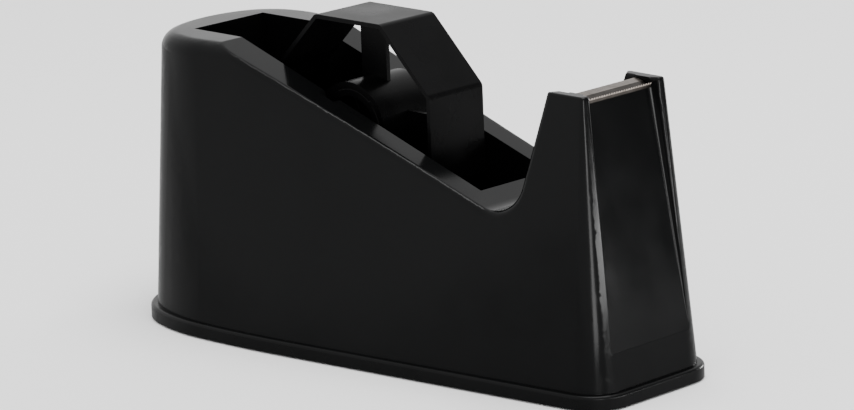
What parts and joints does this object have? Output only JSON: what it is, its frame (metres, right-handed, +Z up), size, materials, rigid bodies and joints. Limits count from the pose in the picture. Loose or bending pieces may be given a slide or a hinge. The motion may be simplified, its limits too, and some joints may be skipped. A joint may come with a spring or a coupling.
{
  "type": "weighted desk tape dispenser",
  "caption": "Weighted desk tape dispenser: hollow black shell with an open well, lift-out spool for small and large cores, and a serrated steel cutter between two cheeks",
  "frame": {"origin": "on the desk, under the middle of the base cover's outline", "axes": "+X towards the cutter, +Y to the left side seen from the rear, +Z up"},
  "size_m": [0.2034, 0.0844, 0.1037],
  "materials": {
    "shell": "satin-gloss black moulding",
    "base": "satin-gloss black moulding",
    "pad": "fine closed-cell foam rubber",
    "screws": "zinc plated",
    "ballast": "as cast",
    "axle": "matt black",
    "spool": "satin black moulding",
    "cutter": "rolled strip, ground teeth"
  },
  "bodies": {
    "base": {"shell": "shell", "base_cover": "base", "non_slip_pad": "pad", "base_screws": "screws", "nose_ballast": "ballast", "left_ballast": "ballast", "right_ballast": "ballast", "cutter_blade": "cutter"},
    "axle": {"axle": "axle"},
    "spool": {"small_core_hub": "spool", "large_core_adaptor": "spool"}
  },
  "joints": [
    {"name": "spool_lift", "type": "slide", "parent": "base", "child": "axle", "axis": [-0.3907, 0, 0.9205], "range_m": [0, 0.04]},
    {"name": "spool_spin", "type": "hinge", "parent": "axle", "child": "spool", "pos_m": [-0.0147, 0, 0.0689], "axis": [0, 1, 0], "continuous": true}
  ]
}
